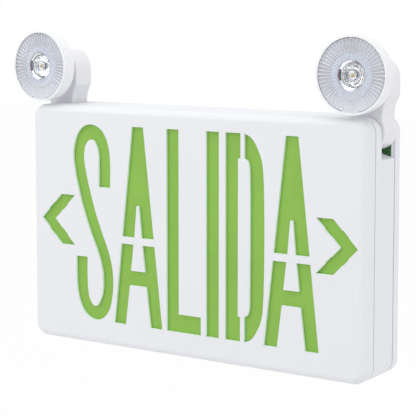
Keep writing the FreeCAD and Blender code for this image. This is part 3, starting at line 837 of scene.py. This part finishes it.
class EXITLIGHT_OT_face(PieceOperator):
    """Add the front plate with the legend and arrows cut through it"""
    bl_idname = "exitlight.face"
    bl_label = "Front plate"

    def execute(self, context):
        sizes = context.scene.exit_housing
        low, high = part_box("face_plate")
        piece = rounded_block("exit_face_plate", low, high, sizes.corner_radius,
                              (low.y, sizes.face_edge, 10), (high.y, sizes.seam_edge, 2))
        draw_out(piece, 1, sizes.wall - sizes.seam_edge, low.y + sizes.wall - high.y)
        combine(piece, plate("legend_tool", legend_outlines(), low.y - 2 * MM,
                             low.y + sizes.wall * 1.5))
        soften(piece, sizes.cut_edge)
        finish(piece, "face", "housing", "face_white", "face_plate")
        # the walls of the cut-outs get painted green light, bounced from the panel
        piece.data.materials.append(cut_wall_bounce_look(low.y, sizes.wall))
        piece.active_material_index = 1
        edit(piece)
        pick("FACE", lambda face: abs(face.normal.y) < 0.5 and self.in_legend(face))
        bpy.ops.object.material_slot_assign()
        done()
        return {"FINISHED"}

    @staticmethod
    def in_legend(face):
        """True for a face within the field of the letters and arrows."""
        centre = face.calc_center_median() / MM
        return abs(centre.x) < LEGEND_FIELD_X and abs(centre.z) < LEGEND_FIELD_Z


class EXITLIGHT_OT_housing(PieceOperator):
    """Add the middle housing with its two arm slots"""
    bl_idname = "exitlight.housing"
    bl_label = "Middle housing"

    SPIGOT_INSET = 3.4
    WELL_RADIUS = 5.0
    WELLS = (("test_button", 0.05, 7.0), ("pilot_lens", 0.02, 5.0))  # node, gap and depth

    def execute(self, context):
        sizes = context.scene.exit_housing
        low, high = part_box("main_housing")
        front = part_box("face_plate")[1].y + sizes.seam_gap
        piece = rounded_block(
            "housing_shell", Vector((low.x, front, low.z)), high, sizes.corner_radius,
            (front, sizes.seam_edge, 2), (high.y, sizes.rear_edge, 2))
        draw_out(piece, -1, self.SPIGOT_INSET * MM - sizes.seam_edge, low.y - front)
        for way in SIDES.values():
            self.cut_slot(piece, way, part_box("battery_box")[0], high, sizes)
        self.cut_underside(piece, low)
        finish(piece, "housing", "housing", "housing_white", "main_housing", "battery_box")
        return {"FINISHED"}

    @staticmethod
    def cut_slot(piece, way, shelf, high, sizes):
        """Slot open at the top, side and back; its floor falls outwards from a round corner."""
        past = 12 * MM
        inner, radius, fall = -shelf.x, sizes.slot_corner, sizes.slot_fall
        centre_x = inner + radius
        centre_z = shelf.z + (radius + (high.x - centre_x) * math.sin(fall)) / math.cos(fall)
        turn = arc((centre_x, centre_z), radius, 180, 270 - math.degrees(fall), 10)
        outline = [(inner, high.z + past)] + turn + [
            (high.x, shelf.z), (high.x + past, shelf.z), (high.x + past, high.z + past)]
        combine(piece, plate("slot_tool", [[(x * way, z, False) for x, z in outline]], shelf.y,
                             high.y + past))

    def cut_underside(self, piece, low):
        """Wells of the test button and the pilot light."""
        for node, gap, depth in self.WELLS:
            box_low, box_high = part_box(node)
            x, y = (box_low + box_high).xy / 2
            radius = (box_high.x - box_low.x) / 2
            if node == "test_button":  # the button's flange is wider than its well
                radius = self.WELL_RADIUS * MM
            combine(piece, rod("well_tool", radius + gap * MM, (x, y, low.z - 2 * MM),
                               (x, y, low.z + depth * MM)))


class EXITLIGHT_OT_rear_cover(PieceOperator):
    """Add the back plate with its cable entry, keyholes, knock-outs and screws"""
    bl_idname = "exitlight.rear_cover"
    bl_label = "Back plate"

    RIM, RIM_EDGE, SPIGOT_INSET = 0.7, 1.2, 1.8
    ENTRY_RADIUS = 11.0
    BOX_SCREW_X, BOX_SCREW_RADIUS = 44.45, 2.4
    KEYHOLE_X, KEYHOLE_Z, KEYHOLE_DEPTH = 100.0, 40.0, 5.0
    KEYHOLE_RADIUS, KEYHOLE_HALF, KEYHOLE_RISE = 4.5, 2.3, 9.0
    SCREW_X, SCREW_Z = 137.0, {-1: -80.0, 1: 33.0}  # lower and upper row
    SCREW_BORE, SCREW_DEPTH = 3.6, 2.6
    KNOCKOUTS = ((0, 55, 14), (0, -55, 14), (-72, 0, 11), (72, 0, 11))  # x, z and radius
    GROOVE_WIDTH, GROOVE_DEPTH = 0.9, 0.6
    BOARD_GAP = 0.3

    def execute(self, context):
        sizes = context.scene.exit_housing
        low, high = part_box("back_plate")
        rim = Vector((self.RIM * MM, 0, self.RIM * MM))
        front = low.y + sizes.rear_gap
        piece = rounded_block(
            "rear_cover", Vector((low.x, front, low.z)) - rim, high + rim, sizes.corner_radius,
            (high.y, self.RIM_EDGE * MM, 4), (front, sizes.rear_edge, 2))
        draw_out(piece, -1, self.SPIGOT_INSET * MM, low.y - front)
        past = 3 * MM

        def bore(radius, x, z, depth, sides=48):
            combine(piece, rod("bore_tool", radius * MM, (x * MM, -depth, z * MM),
                               (x * MM, past, z * MM), sides))
        through_all = past - low.y
        bore(self.ENTRY_RADIUS, 0, 0, through_all, 96)
        board_low, board_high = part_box("control_board")
        gap = Vector((self.BOARD_GAP * MM, 0, self.BOARD_GAP * MM))
        combine(piece, block("seat_tool", Vector((board_low.x, low.y - past, board_low.z)) - gap,
                             board_high + gap))
        for way in (-1, 1):
            bore(self.BOX_SCREW_RADIUS, self.BOX_SCREW_X * way, 0, through_all)
            for rise in (-1, 1):
                x, z = self.KEYHOLE_X * way, self.KEYHOLE_Z * rise
                bore(self.KEYHOLE_RADIUS, x, z, self.KEYHOLE_DEPTH * MM)
                combine(piece, block(
                    "bore_tool", Vector((x - self.KEYHOLE_HALF, -self.KEYHOLE_DEPTH, z)) * MM,
                    Vector((x + self.KEYHOLE_HALF, past / MM, z + self.KEYHOLE_RISE)) * MM))
                bore(self.SCREW_BORE, self.SCREW_X * way, self.SCREW_Z[rise],
                     self.SCREW_DEPTH * MM)
        for knockout in self.KNOCKOUTS:
            self.cut_ring(piece, *knockout)
        finish(piece, "housing", "housing", "housing_white", "back_plate")
        self.add_screws()
        return {"FINISHED"}

    def cut_ring(self, piece, x, z, radius):
        """Thin groove around a knock-out."""
        outer, groove = radius + self.GROOVE_WIDTH, self.GROOVE_DEPTH
        ring = turned("ring_tool", [(radius, -groove), (outer, -groove), (outer, groove),
                                    (radius, groove), (radius, -groove)], 72)
        combine(piece, settle(ring, (x * MM, 0, z * MM)))

    def add_screws(self):
        """Four recessed cross-head screws that hold the back plate."""
        first = turned("cover_screw_1", [
            (0, -2.5), (3.2, -2.5), (3.2, -1.6), (2.6, -0.95), (1.5, -0.62), (0, -0.55)], 40)
        for x, z in ((1.9, 0.33), (0.33, 1.9)):
            combine(first, block("cross_tool", Vector((-x, -1.6, -z)) * MM,
                                 Vector((x, 1, z)) * MM))
        heads = [first] + [copy_of(first, "cover_screw_%d" % number) for number in (2, 3, 4)]
        for head, (way, rise) in zip(heads, ((1, 1), (-1, 1), (1, -1), (-1, -1))):
            settle(head, (self.SCREW_X * way * MM, 0, self.SCREW_Z[rise] * MM))
            finish(head, "steel", "housing", "pin_steel")


class EXITLIGHT_OT_underside(PieceOperator):
    """Add the test button and the pilot light"""
    bl_idname = "exitlight.underside"
    bl_label = "Button and pilot light"

    BUTTON = ((0, 0.5), (2.2, 0.35), (3.6, 0.1), (4.4, 0.0), (4.8, 0.15), (5.0, 0.5), (5.0, 2.0),
              (6.3, 2.0), (6.3, 3.6), (0, 3.6))
    PILOT = ((0, 0), (1.0, 0.12), (1.7, 0.5), (2.2, 1.0), (2.5, 1.8), (2.5, 4.7), (0, 4.7))

    def execute(self, context):
        for name, profile, steps, node, look, body, slot in (
                ("push_button", self.BUTTON, 64, "test_button", "button", "test_button",
                 "button_grey"),
                ("pilot_light", self.PILOT, 40, "pilot_lens", "pilot", "housing", "pilot_red")):
            low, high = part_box(node)
            piece = turned(name, profile, steps, upright=True)
            settle(piece, (*(low + high).xy / 2, low.z))
            finish(piece, look, body, slot, node)
        return {"FINISHED"}


class EXITLIGHT_OT_arms(PieceOperator):
    """Add the two swinging arms with their turntables"""
    bl_idname = "exitlight.arms"
    bl_label = "Arms"

    WAIST_FOOT, WAIST_TOP, WAIST_RADIUS = 8.0, 24.6, 26.0

    def execute(self, context):
        for side in SIDES:
            self.add_arm(side, context.scene.exit_lamp)
            self.add_turntable(side)
        return {"FINISHED"}

    def add_arm(self, side, sizes):
        """Arm with its round end in the slot, a waist and a round top, as one outline."""
        low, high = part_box(side + "_lamp_arm")
        pivot = joint_place(side + "_arm_swing")
        lamp = joint_place(side + "_head_turn")
        disc, neck, top = sizes.disc_radius, sizes.neck_half, sizes.block_radius
        right = arc((0, 0), disc, -90, math.degrees(math.acos(neck / disc)), 22)
        right += through((neck, self.WAIST_FOOT * MM), (top, self.WAIST_TOP * MM),
                         self.WAIST_RADIUS * MM, 12)
        right += arc((0, sizes.block_rise), top, 0, 90, 18)
        outline = right + [(-x, z) for x, z in right[-2:0:-1]]
        piece = plate(side + "_arm_body", [[(x, z, False) for x, z in outline]], low.y, high.y,
                      sizes.arm_edge)
        settle(piece, (pivot.x, 0, pivot.z))
        for radius, start, end, height in (
                (8.55, low.y - MM, low.y + 5 * MM, lamp.z),  # seat of the turntable
                (4.8, high.y - 4.2 * MM, high.y + MM, lamp.z),  # well of its rivet
                (3.05, low.y, high.y, lamp.z),  # its shank
                (3.05, low.y - MM, high.y + MM, pivot.z)):  # the arm's own pin
            combine(piece, rod("bore_tool", radius * MM, (pivot.x, start, height),
                               (pivot.x, end, height), 64))
        finish(piece, "arm", side + "_arm", "arm_white", side + "_lamp_arm")

    @staticmethod
    def add_turntable(side):
        """Disc and shank that turn in the arm, with two ears for the lamp's tongue."""
        piece = turned(side + "_turntable", [
            (0, 5.7), (7.9, 5.7), (8.5, 6.3), (8.5, 10.4), (3.0, 10.4), (3.0, 21.1), (4.3, 21.1),
            (4.3, 21.6), (2.6, 24.1), (0, 24.1)], 72)
        for low, high in ((-EAR_OUTER, -EAR_INNER), (EAR_INNER, EAR_OUTER)):
            combine(piece, lug("ear_tool", EAR_ROOT, low, high), "UNION")
        combine(piece, rod("bore_tool", EAR_BORE * MM, (0, 0, -6 * MM), (0, 0, 6 * MM), 32))
        settle(piece, joint_place(side + "_head_tilt"))
        finish(piece, "arm", side + "_swivel", "arm_white", side + "_lamp_swivel")


class EXITLIGHT_OT_drums(PieceOperator):
    """Add the round lamp bodies"""
    bl_idname = "exitlight.drums"
    bl_label = "Lamp bodies"

    def execute(self, context):
        radius = context.scene.exit_lamp.drum_radius / MM
        profile = [(0, -7.8), (23.8, -7.8), (23.8, -15.6), (25.8, -15.6), (25.8, -19.3),
                   (25.95, -19.46), (26.15, -19.5), (radius - 0.35, -19.5),
                   (radius - 0.1, -19.4), (radius, -19.15)]
        profile += arc((24.0, -9.2), 3.0, 0, 90, 8) + [(10.0, -6.2), (8.8, -5.0), (0, -5.0)]
        for side in SIDES:
            piece = turned(side + "_lamp_drum", profile, 144)
            combine(piece, lug("tongue_tool", TONGUE_ROOT, -TONGUE_HALF, TONGUE_HALF), "UNION")
            combine(piece, rod("bore_tool", TONGUE_BORE * MM, (0, 0, -5 * MM), (0, 0, 5 * MM), 32))
            finish_on_head(piece, side, "drum", "arm_white", "_lamp_shell")
        return {"FINISHED"}


class EXITLIGHT_OT_lenses(PieceOperator):
    """Add the fluted lenses with their clear centres"""
    bl_idname = "exitlight.lenses"
    bl_label = "Lenses"

    RING = ((10.6, -18.7), (11.3, -19.0), (11.8, -18.7), (14.0, -18.7), (15.7, -18.7),
            (16.1, -19.0), (16.6, -19.0), (17.0, -18.65), (19.5, -18.65), (22.0, -18.65),
            (24.2, -18.65), (24.5, -19.0), (25.2, -19.0), (25.4, -18.8), (25.4, -17.0),
            (10.6, -17.0), (10.6, -18.7))
    FLUTE_STEPS = 6
    FLUTED_LOW, FLUTED_HIGH, FLUTED_FRONT = 11.5, 24.3, -18.3
    BEAD_LOW, BEAD_HIGH = 16.05, 16.65  # the smooth bead between the two fields of flutes
    LUGS = ((14.5, -90), (1.4, 90), (1.2, 180), (1.2, 0))  # half width and place, in degrees
    BULGE, DOME_HALF = 1.7, 10.3
    CONE = [(DOME_HALF + 0.1, -18.7), (DOME_HALF + 0.1, -17.4), (7.7, -17.2), (6.6, -15.6),
            (5.5, -14.0), (4.4, -12.4), (3.9, -11.6), (3.2, -11.6)]
    HOLLOW = [(3.0, -15.6), (2.6, -16.4), (1.8, -17.0), (0.9, -17.25), (0, -17.3)]

    def execute(self, context):
        for side in SIDES:
            ring = self.fluted_ring(side + "_fluted_lens", context.scene.exit_lamp)
            finish_on_head(ring, side, side + "_lens", "clear_lens", "_lamp_lens", angle=20)
            dome = self.centre_optic(side + "_centre_optic")
            finish_on_head(dome, side, "optic", "clear_lens", "_lamp_lens", angle=60)
        return {"FINISHED"}

    def fluted_ring(self, name, sizes):
        """Ring with radial flutes and the lugs that snap it into the drum."""
        steps = sizes.flutes * self.FLUTE_STEPS
        piece = turned(name, self.RING, steps)

        def spoke(vertex, wanted):
            x, y, z = vertex.co / MM
            radius = math.hypot(x, z)
            turn = round(math.atan2(z, x) / math.tau * steps)
            return (y < self.FLUTED_FRONT and self.FLUTED_LOW < radius < self.FLUTED_HIGH
                    and not self.BEAD_LOW < radius < self.BEAD_HIGH
                    and turn % self.FLUTE_STEPS in wanted)
        edit(piece)
        for wanted, shift in (((0,), -sizes.flute_depth), ((2, 3, 4), sizes.flute_depth / 4)):
            pick("VERT", lambda vertex: spoke(vertex, wanted))
            bpy.ops.transform.translate(value=(0, shift, 0))
        done()
        for half, place in self.LUGS:
            outline = arc((0, 0), 24.0, place - half, place + half, 6)
            outline += arc((0, 0), 25.75, place + half, place - half, 6)
            combine(piece, plate("lug_tool", [corners(outline)], -19.25 * MM, -18.2 * MM), "UNION")
        return piece

    def centre_optic(self, name):
        """Clear optic: a domed front, a cone behind it and a hollow over the emitter."""
        radius = (self.DOME_HALF ** 2 + self.BULGE ** 2) / (2 * self.BULGE)
        crown = [(r, -19.0 - (math.sqrt(radius ** 2 - r ** 2) - (radius - self.BULGE)))
                 for r in (0, 1.5, 3, 4.5, 6, 7.2, 8.4, 9.4, self.DOME_HALF)]
        return turned(name, crown + self.CONE + self.HOLLOW)


class EXITLIGHT_OT_emitters(PieceOperator):
    """Add the reflector cups and the light emitters"""
    bl_idname = "exitlight.emitters"
    bl_label = "Reflectors and emitters"

    CUP = [(3.2, -9.4), (4.1, -10.4), (4.4, -11.4), (4.8, -12.4), (5.5, -13.0), (5.9, -14.1),
           (6.6, -14.6), (7.0, -15.5), (7.8, -15.9), (8.1, -16.4), (10.9, -16.5), (10.9, -16.2),
           (9.0, -15.9)]
    CUP_WALL = 0.5
    LEADS = (("black", 7.9, 8.9), ("blue", 9.0, 9.6), ("amber", 9.7, 10.2))
    POST = ((0, -9.4), (2.6, -9.4), (2.6, -9.9), (2.2, -10.3), (2.2, -14.7), (2.0, -15.0),
            (0, -15.0))
    PHOSPHOR = ((0, -15.4), (1.0, -15.4), (0.95, -15.7), (0.6, -15.78), (0, -15.8))

    def execute(self, context):
        wall = [(radius + self.CUP_WALL, y) for radius, y in reversed(self.CUP[:-4])]
        for side in SIDES:
            cup = turned(side + "_reflector_cup", self.CUP + wall + self.CUP[:1], 60)
            finish_on_head(cup, side, "cup", "bright_cup", "_reflector", angle=25)
            for lead, inner, outer in self.LEADS:
                strand = arc((0, 0), inner, 157, 203, 16) + arc((0, 0), outer, 203, 157, 16)
                wire = plate("%s_lead_%s" % (side, lead), [corners(strand)], -17.0 * MM,
                             -16.5 * MM, 0.15 * MM)
                finish_on_head(wire, side, lead, None)
            post = turned(side + "_emitter_post", self.POST, 40)
            finish_on_head(post, side, "aluminium", "board_aluminium")
            chip = block(side + "_emitter_chip", Vector((-1.1, -15.5, -1.4)) * MM,
                         Vector((1.1, -15.0, 1.4)) * MM)
            soften(chip, 0.15 * MM)
            combine(chip, turned("phosphor_tool", self.PHOSPHOR, 32), "UNION")
            finish_on_head(chip, side, "chip", "emitter_yellow", "_emitter")
        return {"FINISHED"}


class EXITLIGHT_PT_panel(bpy.types.Panel):
    """Sidebar panel with every step of the exit light"""
    bl_label = "Exit Light"
    bl_idname = "EXITLIGHT_PT_panel"
    bl_space_type = "VIEW_3D"
    bl_region_type = "UI"
    bl_category = "Exit Light"

    def draw(self, context):
        for operator in OPERATORS:
            self.layout.operator(operator.bl_idname)
        for name, group in SETTINGS.items():
            box = self.layout.box()
            for field in group.__annotations__:
                box.prop(getattr(context.scene, name), field)


OPERATORS = (
    EXITLIGHT_OT_stage, EXITLIGHT_OT_finishes, EXITLIGHT_OT_face, EXITLIGHT_OT_housing,
    EXITLIGHT_OT_rear_cover, EXITLIGHT_OT_underside, EXITLIGHT_OT_arms, EXITLIGHT_OT_drums,
    EXITLIGHT_OT_lenses, EXITLIGHT_OT_emitters)
CLASSES = (*SETTINGS.values(), *OPERATORS, EXITLIGHT_PT_panel)


def register():
    for item in CLASSES:
        bpy.utils.register_class(item)
    for name, group in SETTINGS.items():
        setattr(bpy.types.Scene, name, PointerProperty(type=group))


def unregister():
    for name in SETTINGS:
        delattr(bpy.types.Scene, name)
    for item in reversed(CLASSES):
        bpy.utils.unregister_class(item)


def main():
    register()
    bpy.ops.object.select_all(action="DESELECT")
    for operator in OPERATORS:
        group, name = operator.bl_idname.split(".")
        getattr(getattr(bpy.ops, group), name)()


if __name__ == "__main__":
    main()
